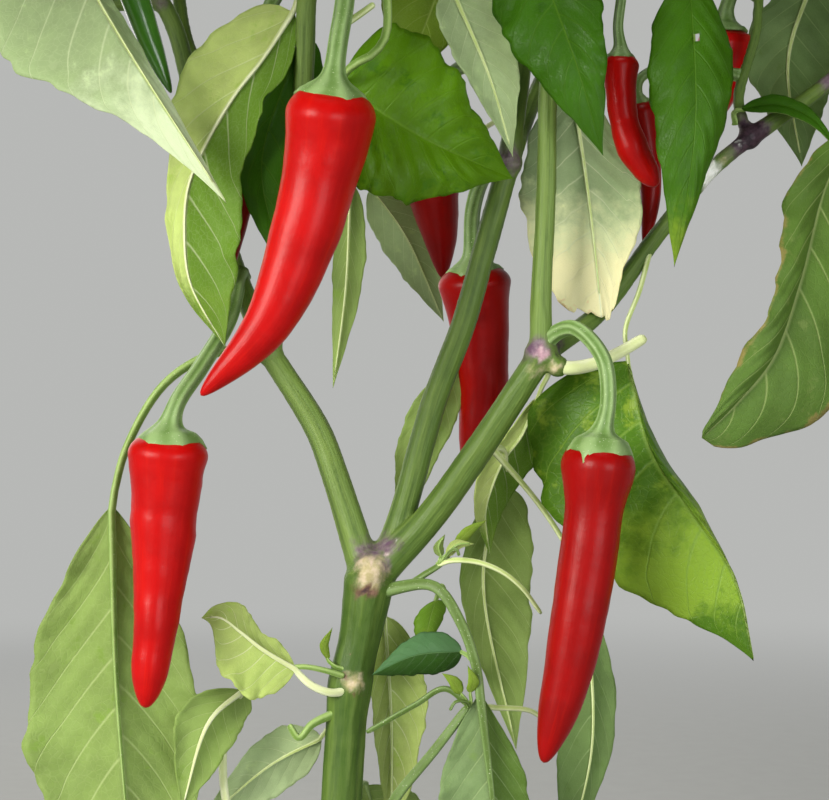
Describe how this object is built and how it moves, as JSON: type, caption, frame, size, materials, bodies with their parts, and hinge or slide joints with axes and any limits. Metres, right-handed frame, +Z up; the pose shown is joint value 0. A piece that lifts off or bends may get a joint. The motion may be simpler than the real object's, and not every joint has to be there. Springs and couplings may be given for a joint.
{
  "type": "chilli pepper plant",
  "caption": "Bushy chilli pepper plant rooted in the ground: a green stem forking into boughs, large drooping leaves and long hanging red pods under a leafy crown.",
  "frame": {"origin": "middle of the flat cut under the main stem, at ground level", "axes": "+Z up, +X to the right and -Y towards the viewer as the plant is seen from its front"},
  "size_m": [0.5001, 0.4214, 0.6369],
  "materials": {
    "stem_bark": "green ribbed stem skin",
    "bough_skin": "green ribbed bough skin",
    "pod_skin": "smooth waxy red skin",
    "unripe_pod_skin": "smooth waxy dark green skin",
    "stalk_skin": "ribbed green pod stalk and cap",
    "leaf_blade": "thin veined leaf, glossier above than below",
    "foliage": "mass of leaves, twigs, buds and small pods"
  },
  "bodies": {
    "root": {"bough_back_left": "bough_skin", "bough_back_right": "bough_skin", "bough_far_right": "bough_skin", "bough_front_left": "bough_skin", "bough_left": "bough_skin", "bough_left_inner": "bough_skin", "bough_left_outer": "bough_skin", "bough_low_left": "bough_skin", "bough_low_right": "bough_skin", "bough_middle": "bough_skin", "bough_middle_upper": "bough_skin", "bough_right": "bough_skin", "bough_right_outer": "bough_skin", "bough_right_twig": "bough_skin", "bough_right_upright": "bough_skin", "foliage_back_left": "foliage", "foliage_back_right": "foliage", "foliage_front_left": "foliage", "foliage_front_right": "foliage", "foliage_left": "foliage", "foliage_low_left": "foliage", "foliage_low_right": "foliage", "foliage_right": "foliage", "foliage_top": "foliage", "leaf_behind_pod": "leaf_blade", "leaf_beside_stem": "leaf_blade", "leaf_broken_tip": "leaf_blade", "leaf_curled": "leaf_blade", "leaf_folded": "leaf_blade", "leaf_glossy": "leaf_blade", "leaf_low_middle": "leaf_blade", "leaf_lower_left": "leaf_blade", "leaf_pale_hanging": "leaf_blade", "leaf_right_edge": "leaf_blade", "leaf_top_middle": "leaf_blade", "leaf_top_right": "leaf_blade", "leaf_under_middle": "leaf_blade", "leaf_upper_left": "leaf_blade", "main_stem": "stem_bark", "pod_1": "pod_skin", "pod_2": "pod_skin", "pod_3": "pod_skin", "pod_4": "pod_skin", "pod_5": "pod_skin", "pod_6": "pod_skin", "pod_7": "pod_skin", "pod_8": "pod_skin", "pod_9": "pod_skin", "pod_unripe": "unripe_pod_skin", "stalk_of_pod_1": "stalk_skin", "stalk_of_pod_2": "stalk_skin", "stalk_of_pod_3": "stalk_skin", "stalk_of_pod_4": "stalk_skin", "stalk_of_pod_5": "stalk_skin", "stalk_of_pod_6": "stalk_skin", "stalk_of_pod_7": "stalk_skin", "stalk_of_pod_8": "stalk_skin", "stalk_of_pod_9": "stalk_skin", "stalk_of_pod_unripe": "stalk_skin"}
  },
  "joints": []
}
